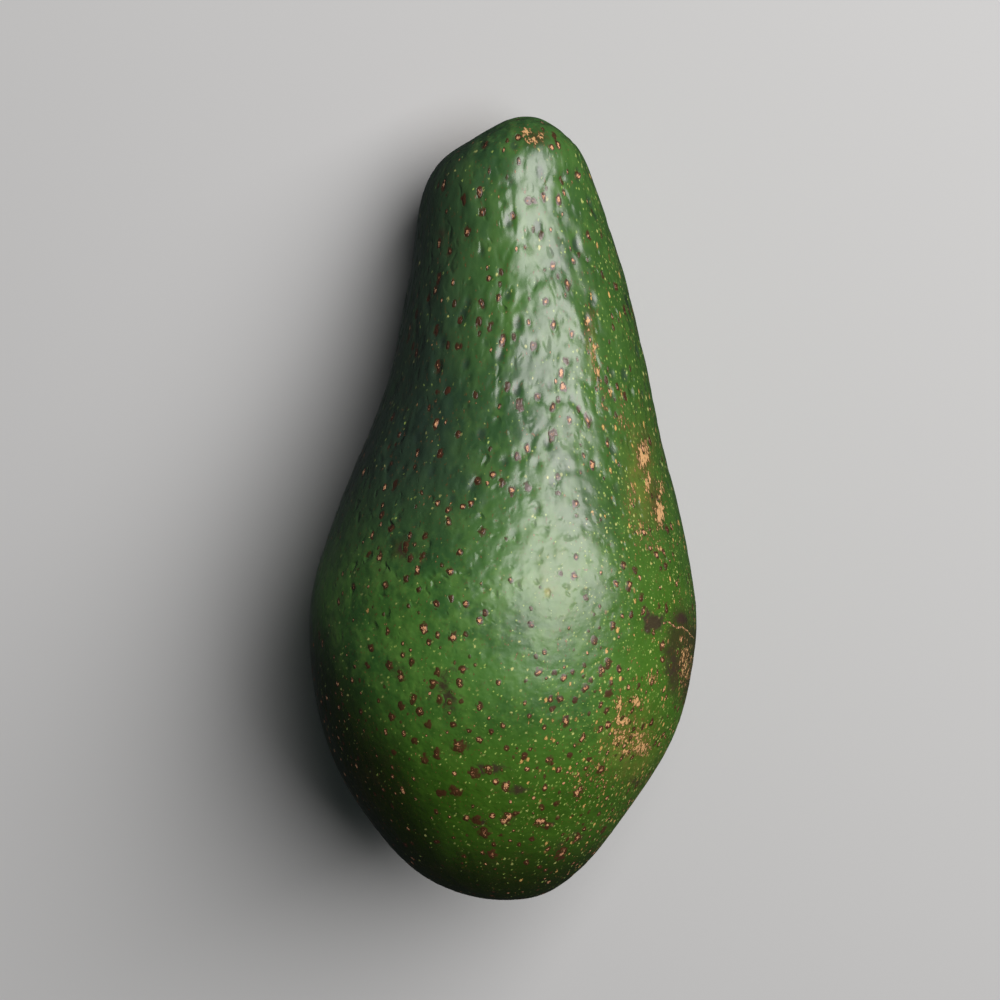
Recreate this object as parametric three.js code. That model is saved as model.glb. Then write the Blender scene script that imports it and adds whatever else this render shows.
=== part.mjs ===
// A whole avocado: a long pear-shaped green fruit with the dry stub of its stem, lying on its side.
// Units are millimetres and +Z is up. The neck and the stem end point towards +Y. The fruit leans
// on its belly and on the underside of its neck, and the floor is the plane Z = 0.

import * as THREE from 'three';
import { mergeVertices } from 'three/addons/utils/BufferGeometryUtils.js';
import { ImprovedNoise } from 'three/addons/math/ImprovedNoise.js';

// Driving dimensions of the fruit. Before it is laid down, X runs across it, Y along it from the
// blossom end to the stem end, and Z from its resting side to its upper side.
const FRUIT_LENGTH = 130;
const BELLY_WIDTH = 64;
const DEPTH_SHARE = 0.97;

// Half of the outline: the radius as a share of half the belly's width, and the height above the
// blossom end as a share of the length.
const HALF_OUTLINE = [
  [0, 0],
  [0.235, 0.01],
  [0.467, 0.048],
  [0.783, 0.151],
  [0.954, 0.25],
  [1, 0.345],
  [0.982, 0.407],
  [0.872, 0.509],
  [0.734, 0.612],
  [0.627, 0.715],
  [0.5375, 0.817],
  [0.475, 0.888],
  [0.378, 0.945],
  [0.272, 0.966],
  [0.153, 0.986],
  [0, 1],
];

// How far the middle of the fruit wanders from a straight axis: the height as a share of the
// length, then the offset across and the offset in depth.
const SPINE = [
  [0, -0.1, 0.6],
  [0.1, -1.3, 0],
  [0.25, -0.3, 0],
  [0.46, 0.6, 0],
  [0.715, 2.8, -0.4],
  [0.86, 1.9, -0.8],
  [0.925, 1.2, 0.4],
  [0.965, 3.2, 2.6],
  [1, 4.3, 4.4],
];

// The shallow cavity that the stem sits in, on the slanting shoulder beside the top of the neck.
const CAVITY_ANGLE = 222;
const CAVITY_HEIGHT_SHARE = 0.957;
const CAVITY_RADIUS = 6.2;
const CAVITY_DEPTH = 2.4;
const CAVITY_LIP = 0.35;
const LIP_WIDTH = CAVITY_RADIUS / 3;

// The blossom end has a faint dimple where the flower was.
const BLOSSOM_RADIUS = 6;
const BLOSSOM_DEPTH = 0.5;

// The stub of the stem, which dried and shrank away from the cavity that holds it. Its profile is
// the radius and the height, as shares of the stub's own.
const STEM_RADIUS = 3.4;
const STEM_HEIGHT = 3.2;
const STEM_GAP = 0.6;
const STEM_SIDES = 22;
const STEM_PROFILE = [
  [0, 0],
  [0.35, 0.04],
  [0.66, 0.2],
  [0.86, 0.4],
  [1, 0.66],
  [0.96, 0.86],
  [0.8, 0.98],
  [0.52, 1],
  [0.3, 0.9],
  [0, 0.84],
];

// The stub's side is ragged by a share of its radius, and its broken end is worn by a height.
const STEM_RAGGEDNESS = 0.16;
const STEM_WEAR = 0.5;
const STEM_LUMP_SIZE = 2.2;
const STEM_WEAR_SIZE = 1.6;

// How the fruit lies: its neck droops until it touches the floor, and both low places are
// pressed flat by the fruit's own weight.
const RESTING_TILT = 13.4;
const PRESSED_FLAT = 0.75;

// The lumps of the skin: broad undulations, and pebbles that are drawn out along the neck and
// lower on the belly. The skin is calm round the stem, from the first distance to the second.
const UNDULATION_SIZE = 15;
const UNDULATION_HEIGHT = 0.5;
const PEBBLE_SIZE = 3.7;
const PEBBLE_HEIGHT = 0.6;
const BELLY_PEBBLE_SHARE = 0.7;
const CALM_PEBBLE_SHARE = 0.25;
const CALM_DISTANCES = [4, 12];
const NECK_STRETCH = 1.6;
const NECK_BLEND = [0.35, 0.75];
const PEBBLE_SEED = 40;
const STEM_SEED = 7;

// The grid of the skin: columns on each of the four sides, and rows along them. The crowding
// draws the rows towards both ends.
const COLUMNS = 26;
const ROWS = 42;
const POLE_CROWDING = 0.46;

// How finely the outline is measured, and the distance within which two vertices are one.
const OUTLINE_DIVISIONS = 1200;
const HALVINGS = 40;
const NORMAL_STEP = 0.004;
const SAME_POINT = 1e-4;

const DEGREE = Math.PI / 180;
const { clamp, lerp, smoothstep } = THREE.MathUtils;
const noise = new ImprovedNoise();

const skinMaterial = new THREE.MeshStandardMaterial({ color: 0x3c6b2a, roughness: 0.42, metalness: 0 });
const stemMaterial = new THREE.MeshStandardMaterial({ color: 0x5b4630, roughness: 0.9, metalness: 0 });

// The whole outline as a closed loop, so that both ends are round. Its first half climbs one side.
function outlineLoop() {
  const point = ([radius, height], side) =>
    new THREE.Vector3((side * radius * BELLY_WIDTH) / 2, height * FRUIT_LENGTH, 0);
  const climb = HALF_OUTLINE.map((station) => point(station, 1));
  const descent = HALF_OUTLINE.slice(1, -1)
    .reverse()
    .map((station) => point(station, -1));
  const loop = new THREE.CatmullRomCurve3([...climb, ...descent], true, 'centripetal');
  loop.arcLengthDivisions = OUTLINE_DIVISIONS;
  return loop;
}

const outline = outlineLoop();
const spine = new THREE.CubicInterpolant(
  SPINE.map(([share]) => share * FRUIT_LENGTH),
  SPINE.flatMap(([, across, depth]) => [across, depth]),
  2,
);

// The point of the smooth fruit at a share of the way up the outline, at an angle round it.
function smoothPoint(share, angle) {
  const station = outline.getPointAt(clamp(share, 0, 1) / 2);
  const radius = Math.max(station.x, 0);
  const [across, depth] = spine.evaluate(clamp(station.y, 0, FRUIT_LENGTH));
  return new THREE.Vector3(
    across + radius * Math.cos(angle),
    station.y,
    depth + radius * DEPTH_SHARE * Math.sin(angle),
  );
}

// The share of the way up the outline at which it reaches a height.
function shareAtHeight(height) {
  let low = 0;
  let high = 1;
  for (let halving = 0; halving < HALVINGS; halving++) {
    const middle = (low + high) / 2;
    if (outline.getPointAt(middle / 2).y < height) low = middle;
    else high = middle;
  }
  return low;
}

// The outward direction of the smooth fruit, from two short steps along its surface.
function smoothNormal(share, angle) {
  const climb = smoothPoint(share + NORMAL_STEP, angle).sub(smoothPoint(share - NORMAL_STEP, angle));
  const turn = smoothPoint(share, angle + NORMAL_STEP).sub(smoothPoint(share, angle - NORMAL_STEP));
  return climb.cross(turn).normalize();
}

// A dish that is one deep in the middle and fades to nothing at the rim.
function dish(distance, radius) {
  const share = distance / radius;
  return share < 1 ? (1 - share * share) ** 2 : 0;
}

// The place and the outward direction of the stem.
function stemSeat() {
  const share = shareAtHeight(CAVITY_HEIGHT_SHARE * FRUIT_LENGTH);
  const angle = CAVITY_ANGLE * DEGREE;
  return { place: smoothPoint(share, angle), outward: smoothNormal(share, angle) };
}

const seat = stemSeat();
const blossom = smoothPoint(0, 0);

// How far the skin rises above the smooth fruit at a point of it.
function skinRelief(point) {
  const neck = smoothstep(point.y / FRUIT_LENGTH, ...NECK_BLEND);
  const along = lerp(1, NECK_STRETCH, neck);
  const calm = smoothstep(point.distanceTo(seat.place), ...CALM_DISTANCES);
  const broad = noise.noise(
    point.x / UNDULATION_SIZE,
    point.y / UNDULATION_SIZE,
    point.z / UNDULATION_SIZE,
  );
  const pebble = noise.noise(
    point.x / PEBBLE_SIZE + PEBBLE_SEED,
    point.y / (PEBBLE_SIZE * along) + PEBBLE_SEED,
    point.z / PEBBLE_SIZE + PEBBLE_SEED,
  );
  const pebbled = lerp(CALM_PEBBLE_SHARE, 1, calm) * lerp(BELLY_PEBBLE_SHARE, 1, neck);
  return UNDULATION_HEIGHT * broad * calm + PEBBLE_HEIGHT * pebble * pebbled;
}

// How far the stem's cavity, with its raised lip, moves the skin along the stem's direction.
function cavityMove(point) {
  const away = point.clone().sub(seat.place);
  const lift = away.dot(seat.outward);
  const distance = away.addScaledVector(seat.outward, -lift).length();
  const lip = CAVITY_LIP * Math.exp(-(((distance - CAVITY_RADIUS) / LIP_WIDTH) ** 2));
  return lift > -CAVITY_RADIUS ? lip - CAVITY_DEPTH * dish(distance, CAVITY_RADIUS) : 0;
}

// A box of quads blown up to the fruit's smooth shape, with its vertices shared.
function smoothFruit() {
  const box = new THREE.BoxGeometry(2, 2, 2, COLUMNS, ROWS, COLUMNS);
  box.deleteAttribute('normal');
  box.deleteAttribute('uv');
  const fruit = mergeVertices(box, SAME_POINT);
  const position = fruit.getAttribute('position');
  const corner = new THREE.Vector3();
  for (let i = 0; i < position.count; i++) {
    corner.fromBufferAttribute(position, i);
    for (const axis of ['x', 'y', 'z']) corner[axis] = Math.tan((corner[axis] * Math.PI) / 4);
    const polar = 1 - corner.angleTo(new THREE.Vector3(0, 1, 0)) / Math.PI;
    const share = polar - (POLE_CROWDING * Math.sin(2 * Math.PI * polar)) / (2 * Math.PI);
    const placed = smoothPoint(share, Math.atan2(corner.z, corner.x));
    position.setXYZ(i, placed.x, placed.y, placed.z);
  }
  fruit.computeVertexNormals();
  return fruit;
}

// The fruit with its lumps, its stem cavity and its blossom dimple.
function fruitGeometry() {
  const fruit = smoothFruit();
  const position = fruit.getAttribute('position');
  const normal = fruit.getAttribute('normal');
  const point = new THREE.Vector3();
  const outward = new THREE.Vector3();
  for (let i = 0; i < position.count; i++) {
    point.fromBufferAttribute(position, i);
    outward.fromBufferAttribute(normal, i);
    const dimple = BLOSSOM_DEPTH * dish(point.distanceTo(blossom), BLOSSOM_RADIUS);
    const cavity = cavityMove(point);
    point.addScaledVector(outward, skinRelief(point) - dimple);
    point.addScaledVector(seat.outward, cavity);
    position.setXYZ(i, point.x, point.y, point.z);
  }
  return fruit;
}

// Turns a shape with the fruit's axis upright along Y into the way that the fruit lies.
const laidDown = new THREE.Matrix4().makeRotationX(-RESTING_TILT * DEGREE);

// Lays the fruit down, sinks it until its low places press flat, and centres it over the origin.
// The result is how far it was shifted after it was turned.
function layDown(fruit) {
  fruit.applyMatrix4(laidDown);
  fruit.computeBoundingBox();
  const { min, max } = fruit.boundingBox;
  const shift = new THREE.Vector3(-(min.x + max.x) / 2, -(min.y + max.y) / 2, -min.z - PRESSED_FLAT);
  fruit.translate(shift.x, shift.y, shift.z);
  const position = fruit.getAttribute('position');
  for (let i = 0; i < position.count; i++) {
    position.setZ(i, Math.max(position.getZ(i), 0));
  }
  fruit.computeVertexNormals();
  return shift;
}

// The stub of the stem, turned about Y with its broken end up: a knob with a dished, ragged top.
function stemGeometry() {
  const profile = STEM_PROFILE.map(
    ([radius, height]) => new THREE.Vector2(radius * STEM_RADIUS, height * STEM_HEIGHT),
  );
  const stub = new THREE.LatheGeometry(profile, STEM_SIDES);
  stub.deleteAttribute('normal');
  stub.deleteAttribute('uv');
  const stem = mergeVertices(stub, SAME_POINT);
  const position = stem.getAttribute('position');
  const point = new THREE.Vector3();
  for (let i = 0; i < position.count; i++) {
    point.fromBufferAttribute(position, i);
    const lump = point.clone().divideScalar(STEM_LUMP_SIZE);
    const ragged = 1 + STEM_RAGGEDNESS * noise.noise(lump.x + STEM_SEED, lump.y / 2, lump.z);
    const worn = noise.noise(point.x / STEM_WEAR_SIZE, STEM_SEED, point.z / STEM_WEAR_SIZE);
    const rise = (point.y / STEM_HEIGHT) * STEM_WEAR * worn;
    position.setXYZ(i, point.x * ragged, point.y + rise, point.z * ragged);
  }
  return stem;
}

const fruitShape = fruitGeometry();
const shift = layDown(fruitShape);
const fruit = new THREE.Mesh(fruitShape, skinMaterial);
fruit.name = 'fruit';

const stem = new THREE.Mesh(stemGeometry(), stemMaterial);
stem.name = 'stem_button';
const upright = new THREE.Vector3(0, 1, 0);
const stemOutward = seat.outward.clone().transformDirection(laidDown);
stem.quaternion.setFromUnitVectors(upright, stemOutward);
stem.position.copy(seat.place.clone().applyMatrix4(laidDown).add(shift));
stem.position.addScaledVector(stemOutward, STEM_GAP - CAVITY_DEPTH);

const avocado = new THREE.Group();
avocado.add(fruit, stem);

export default avocado;
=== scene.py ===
"""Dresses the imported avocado: its pitted, speckled skin and the dry stub of its stem.

Lengths are metres in Blender and millimetres in the fields of the classes below. The fruit lies
along +Y with its neck forward. The picture is taken from above, square to the fruit's own axis,
with the neck at the top, and places that are seen in the picture are given by column and row.
"""

import logging
import math
import random
from collections.abc import Iterable, Sequence
from dataclasses import dataclass
from enum import Enum

import bmesh
import bpy
import numpy as np
from mathutils import Matrix, Vector, noise
from mathutils.bvhtree import BVHTree
from mathutils.kdtree import KDTree


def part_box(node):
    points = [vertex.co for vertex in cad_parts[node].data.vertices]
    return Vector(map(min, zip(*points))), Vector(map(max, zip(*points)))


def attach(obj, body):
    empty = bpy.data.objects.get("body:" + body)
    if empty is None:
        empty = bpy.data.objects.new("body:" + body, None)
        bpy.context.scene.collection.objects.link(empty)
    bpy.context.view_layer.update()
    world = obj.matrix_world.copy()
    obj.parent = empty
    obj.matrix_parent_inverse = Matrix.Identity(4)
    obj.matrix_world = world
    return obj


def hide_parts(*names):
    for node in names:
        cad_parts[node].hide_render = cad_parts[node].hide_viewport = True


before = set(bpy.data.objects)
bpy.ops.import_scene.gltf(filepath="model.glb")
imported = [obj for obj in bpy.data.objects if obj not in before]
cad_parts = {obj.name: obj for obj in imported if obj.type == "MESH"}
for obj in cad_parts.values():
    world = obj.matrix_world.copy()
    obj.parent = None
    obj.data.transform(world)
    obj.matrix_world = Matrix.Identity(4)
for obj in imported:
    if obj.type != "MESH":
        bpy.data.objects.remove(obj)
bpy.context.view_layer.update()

MM = 0.001
MERGE = 1e-6
NOISE_SHIFT = Vector((7.0, 3.0, 5.0))
NOISE_MIDDLE = 0.5
log = logging.getLogger("avocado")

Colour = tuple[float, float, float]
Span = tuple[float, float]
Noise = tuple[float, float, float]
Fade = tuple[float, float, float]


class Slot(Enum):
    """The names of the record's material slots."""

    SKIN = "avocado_skin"
    STEM = "dry_stem"


def smoothstep(value: np.ndarray, low: float, high: float) -> np.ndarray:
    """Rises smoothly from 0 at low to 1 at high.

    Args:
        value: The numbers.
        low: Where the rise starts.
        high: Where it ends. It may be under low, and then the result falls.

    Returns:
        Numbers from 0 to 1.
    """
    share = np.clip((value - low) / (high - low), 0.0, 1.0)
    return share * share * (3.0 - 2.0 * share)


def ease(value: float, low: float, high: float) -> float:
    """Does what smoothstep does, for one number."""
    share = min(max((value - low) / (high - low), 0.0), 1.0)
    return share * share * (3.0 - 2.0 * share)


def in_scene(name: str, data: bpy.types.ID) -> bpy.types.Object:
    """Puts a mesh, a lamp or a camera into the scene.

    Args:
        name: The object's name.
        data: What it shows.

    Returns:
        The object, at the origin.
    """
    thing = bpy.data.objects.new(name, data)
    bpy.context.scene.collection.objects.link(thing)
    return thing


def finished(name: str, bm: bmesh.types.BMesh) -> bpy.types.Mesh:
    """Turns a bmesh into a mesh.

    Args:
        name: The mesh's name.
        bm: The bmesh. It is freed.

    Returns:
        The mesh.
    """
    mesh = bpy.data.meshes.new(name)
    bm.to_mesh(mesh)
    bm.free()
    return mesh


def quads(node: bpy.types.Object, shape_limit: float) -> bmesh.types.BMesh:
    """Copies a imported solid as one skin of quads.

    Args:
        node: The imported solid.
        shape_limit: How far from square the quads may be, in radians.

    Returns:
        The copy.
    """
    bm = bmesh.new()
    bm.from_mesh(node.data)
    bmesh.ops.remove_doubles(bm, verts=bm.verts, dist=MERGE)
    bmesh.ops.join_triangles(
        bm,
        faces=bm.faces,
        angle_face_threshold=math.pi / 2,
        angle_shape_threshold=shape_limit,
        topology_influence=1.5,
    )
    return bm


def subdivided(name: str, bm: bmesh.types.BMesh, levels: int) -> bpy.types.Mesh:
    """Makes a smooth fine mesh from a coarse one.

    Args:
        name: What the coarse mesh is called meanwhile.
        bm: The coarse mesh. It is freed.
        levels: How often it is subdivided.

    Returns:
        The fine mesh.
    """
    coarse = finished(f"{name}_coarse", bm)
    cage = in_scene(f"{name}_cage", coarse)
    subdivision = cage.modifiers.new("finer", "SUBSURF")
    subdivision.levels = subdivision.render_levels = levels
    graph = bpy.context.evaluated_depsgraph_get()
    fine = bpy.data.meshes.new_from_object(cage.evaluated_get(graph))
    bpy.data.objects.remove(cage)
    bpy.data.meshes.remove(coarse)
    return fine


def reshape(mesh: bpy.types.Mesh, points: np.ndarray) -> None:
    """Moves the vertices of a mesh and shades it smooth.

    Args:
        mesh: The mesh.
        points: Where its vertices go, in metres.
    """
    mesh.vertices.foreach_set("co", np.asarray(points, np.float32).ravel())
    mesh.polygons.foreach_set("use_smooth", [True] * len(mesh.polygons))
    mesh.update()


def write_values(mesh: bpy.types.Mesh, name: str, values: np.ndarray) -> None:
    """Keeps one number for each vertex as an attribute."""
    attribute = mesh.attributes.new(name, "FLOAT", "POINT")
    attribute.data.foreach_set("value", np.asarray(values, np.float32))


def write_grain(mesh: bpy.types.Mesh, grain: np.ndarray) -> None:
    """Keeps the pattern space of each vertex as an attribute."""
    attribute = mesh.attributes.new("grain", "FLOAT_VECTOR", "POINT")
    attribute.data.foreach_set("vector", grain.astype(np.float32).ravel())


@dataclass(frozen=True)
class Picture:
    """The picture's square frame, and the rows and the column that the fruit reaches in it."""

    side_px: float = 1000.0
    top_row: float = 117.0
    bottom_row: float = 898.0
    middle_column: float = 503.5
    lens_mm: float = 150.0
    sensor_mm: float = 36.0


class Lie:
    """How the fruit lies: its own directions, its length, and where the picture sees it from."""

    def __init__(self, node: bpy.types.Object, picture: Picture, droop_deg: float = 13.4) -> None:
        """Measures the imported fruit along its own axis.

        Args:
            node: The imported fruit.
            picture: The frame that the fruit is seen in.
            droop_deg: How far the neck droops below the level.
        """
        droop = math.radians(droop_deg)
        self.picture = picture
        self.across = Vector((1.0, 0.0, 0.0))
        self.along = Vector((0.0, math.cos(droop), -math.sin(droop)))
        self.out = Vector((0.0, math.sin(droop), math.cos(droop)))
        along = [v.co.dot(self.along) for v in node.data.vertices]
        out = [v.co.dot(self.out) for v in node.data.vertices]
        self.start = min(along)
        self.length = max(along) - self.start
        self.middle = (min(out) + max(out)) / 2
        self.pixel = self.length / (picture.bottom_row - picture.top_row)
        self.distance = picture.side_px * self.pixel * picture.lens_mm / picture.sensor_mm

    def at_pixel(self, column: float, row: float) -> Vector:
        """Finds the point that a pixel shows on the plane through the fruit's axis.

        Args:
            column: The pixel's column.
            row: Its row.

        Returns:
            The point, in metres.
        """
        across = (column - self.picture.middle_column) * self.pixel
        along = self.start + (self.picture.bottom_row - row) * self.pixel
        return self.across * across + self.along * along + self.out * self.middle

    def eye(self) -> Vector:
        """Where the camera stands."""
        centre = self.picture.side_px / 2
        return self.at_pixel(centre, centre) + self.out * self.distance

    def measured(self, points: np.ndarray) -> np.ndarray:
        """Turns points of the row frame into the fruit's own frame.

        Args:
            points: One point to a row, in metres.

        Returns:
            Millimetres across, along from the blossom end, and out towards the picture.
        """
        axes = np.array([self.across, self.along, self.out]).T
        return (points @ axes - np.array([0.0, self.start, self.middle])) / MM


@dataclass(frozen=True)
class Grain:
    """The skin's own pattern space, in which what is drawn out along the neck is round.

    Attributes:
        neck_stretch: How many times longer than wide the marks of the neck are.
        starts: Where the neck starts, as a share of the fruit's length.
        full: From where on all of it is neck.
        fruit_length: In millimetres.
        margin: How far past both ends the space is worked out. It is also what the second number
            of the space is at the blossom end.
        steps: In how many steps it is worked out.
    """

    neck_stretch: float = 1.75
    starts: float = 0.36
    full: float = 0.68
    fruit_length: float = 130.0
    margin: float = 10.0
    steps: int = 260

    def neck(self, along: np.ndarray | float) -> np.ndarray | float:
        """How much a height along the fruit belongs to the neck, from 0 to 1."""
        return smoothstep(along / self.fruit_length, self.starts, self.full)

    def of(self, measured: np.ndarray) -> np.ndarray:
        """The pattern space of measured points.

        Args:
            measured: Rows of millimetres across, along and out.

        Returns:
            The same rows with the second number squeezed where the neck stretches.
        """
        heights = np.linspace(-self.margin, self.fruit_length + self.margin, self.steps)
        squeeze = 1.0 / (1.0 + (self.neck_stretch - 1.0) * self.neck(heights))
        climbed = np.concatenate([[0.0], np.cumsum((squeeze[1:] + squeeze[:-1]) / 2 * np.diff(heights))])
        grain = measured.copy()
        grain[:, 1] = np.interp(measured[:, 1], heights, climbed)
        return grain


@dataclass(frozen=True)
class Speck:
    """A corky speck: where the picture shows it, and how it looks.

    Attributes:
        column: The column of its middle.
        row: The row of its middle.
        radius: The radius of its dark ring, in millimetres.
        tone: From 0, dark with no pale middle, to 1, pale orange.
        stretch: How much longer it is along the fruit than across.
    """

    column: float
    row: float
    radius: float
    tone: float
    stretch: float = 1.2


@dataclass(frozen=True)
class Patch:
    """A soft patch on the skin: the pixel of its middle, its half sizes in millimetres, its strength."""

    column: float
    row: float
    across: float
    along: float
    strength: float


@dataclass
class Placed:
    """A speck on the skin: its place and outward direction in metres, and its look."""

    place: Vector
    outward: Vector
    radius: float
    tone: float
    stretch: float
    ring: float = 0.9


SEEN_SPECKS = (
    Speck(482, 212, 1.0, 0.45), Speck(513, 216, 0.9, 0.5), Speck(528, 200, 1.0, 0.35),
    Speck(534, 200, 0.9, 0.45), Speck(467, 231, 1.0, 0.55, 1.5), Speck(449, 251, 0.9, 0.5, 1.8),
    Speck(428, 297, 0.8, 0.1, 1.6), Speck(500, 272, 0.8, 0.1, 1.5), Speck(489, 277, 0.8, 0.75),
    Speck(568, 284, 1.0, 0.7, 1.8), Speck(580, 174, 0.9, 0.8), Speck(552, 147, 0.8, 0.95),
    Speck(589, 236, 0.9, 0.7, 1.6), Speck(546, 301, 0.9, 0.6), Speck(437, 368, 1.1, 0.55, 1.9),
    Speck(458, 347, 1.0, 0.45, 1.3), Speck(436, 330, 0.9, 0.4, 1.6), Speck(436, 392, 1.0, 0.35),
    Speck(447, 390, 1.0, 0.35), Speck(479, 322, 0.9, 0.05, 1.6), Speck(460, 319, 0.8, 0.2, 1.5),
    Speck(490, 326, 0.8, 0.05, 2.0), Speck(476, 394, 0.9, 0.1, 1.4), Speck(534, 346, 0.9, 0.4, 1.4),
    Speck(567, 361, 0.9, 0.4, 1.5), Speck(520, 405, 1.2, 0.5, 1.7), Speck(538, 396, 0.9, 0.6, 1.5),
    Speck(553, 407, 0.9, 0.6, 1.6), Speck(553, 434, 1.1, 0.5, 2.0), Speck(564, 387, 1.0, 0.7, 1.4),
    Speck(588, 420, 1.0, 0.55, 2.2), Speck(458, 434, 0.9, 0.3, 1.3), Speck(493, 475, 1.0, 0.6),
    Speck(478, 481, 1.0, 0.5), Speck(502, 482, 1.0, 0.5), Speck(449, 509, 1.0, 0.7),
    Speck(448, 522, 1.1, 0.75), Speck(438, 503, 0.8, 0.85), Speck(463, 506, 0.8, 0.6),
    Speck(471, 504, 0.9, 0.5), Speck(482, 531, 1.1, 0.5), Speck(425, 535, 1.0, 0.35),
    Speck(391, 528, 1.0, 0.3), Speck(409, 537, 0.9, 0.4, 1.5), Speck(405, 547, 1.1, 0.2, 1.5),
    Speck(410, 558, 1.0, 0.25), Speck(423, 556, 1.0, 0.1), Speck(368, 554, 1.0, 0.3),
    Speck(379, 557, 1.1, 0.9, 1.3), Speck(385, 585, 1.1, 0.5), Speck(406, 579, 1.0, 0.3),
    Speck(419, 589, 0.9, 0.1), Speck(450, 572, 1.0, 0.7), Speck(460, 553, 0.9, 0.5),
    Speck(466, 604, 0.8, 0.6), Speck(424, 628, 1.2, 0.85, 1.4), Speck(453, 637, 1.3, 1.0),
    Speck(466, 635, 0.8, 0.8), Speck(387, 631, 0.8, 0.6, 1.5), Speck(371, 648, 1.0, 0.3),
    Speck(412, 661, 1.1, 0.3), Speck(389, 665, 1.2, 0.45), Speck(401, 676, 1.2, 0.75),
    Speck(463, 670, 1.1, 0.4), Speck(437, 672, 1.0, 0.4, 1.6), Speck(433, 684, 1.1, 0.45),
    Speck(460, 683, 1.1, 0.6), Speck(440, 700, 1.1, 0.6), Speck(413, 699, 1.2, 0.55),
    Speck(401, 706, 1.1, 0.15), Speck(419, 712, 1.0, 0.6), Speck(392, 716, 1.2, 0.45),
    Speck(428, 725, 1.1, 0.1), Speck(454, 725, 1.1, 0.55), Speck(479, 706, 1.0, 0.65),
    Speck(468, 731, 0.9, 0.75), Speck(415, 741, 1.0, 0.15), Speck(480, 740, 0.9, 0.85),
    Speck(459, 747, 2.0, 0.5, 1.1), Speck(463, 745, 0.9, 0.7), Speck(437, 754, 1.4, 0.4),
    Speck(425, 759, 1.3, 0.3), Speck(394, 752, 0.9, 0.2), Speck(474, 773, 1.6, 0.4),
    Speck(488, 769, 1.3, 0.8), Speck(455, 791, 1.6, 0.2), Speck(441, 793, 1.3, 0.15),
    Speck(484, 833, 1.8, 0.45), Speck(466, 818, 0.9, 0.7), Speck(476, 820, 1.4, 0.25),
    Speck(506, 786, 1.4, 0.85), Speck(507, 819, 1.6, 0.95), Speck(516, 814, 0.9, 0.7),
    Speck(540, 822, 1.6, 0.85), Speck(547, 826, 1.0, 0.7), Speck(542, 808, 0.9, 0.8),
    Speck(550, 761, 1.3, 0.7), Speck(578, 792, 1.6, 0.9), Speck(561, 854, 1.7, 0.6, 1.5),
    Speck(492, 854, 1.4, 0.5), Speck(603, 830, 1.4, 0.35), Speck(577, 838, 1.6, 0.6),
    Speck(609, 694, 1.2, 0.4), Speck(608, 663, 1.2, 0.6, 1.3), Speck(602, 671, 1.0, 0.8, 1.5),
    Speck(607, 710, 1.0, 0.4), Speck(585, 688, 1.0, 0.6), Speck(594, 641, 1.1, 0.6),
    Speck(613, 626, 1.0, 0.55), Speck(629, 586, 1.2, 0.7), Speck(641, 597, 1.0, 0.5),
    Speck(665, 566, 1.0, 0.3), Speck(623, 565, 1.0, 0.55), Speck(667, 608, 1.0, 0.6, 1.5),
    Speck(662, 645, 1.2, 0.7), Speck(663, 659, 1.0, 0.5), Speck(539, 672, 1.0, 0.6),
    Speck(566, 722, 1.1, 0.7, 1.4), Speck(560, 699, 1.0, 0.55), Speck(600, 729, 0.9, 0.9),
    Speck(582, 738, 1.0, 0.7), Speck(601, 770, 1.4, 0.6),
)

SCRATCH = ((664, 623), (668, 621), (672, 625), (677, 628), (682, 627), (687, 631), (691, 636), (694, 639))

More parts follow.
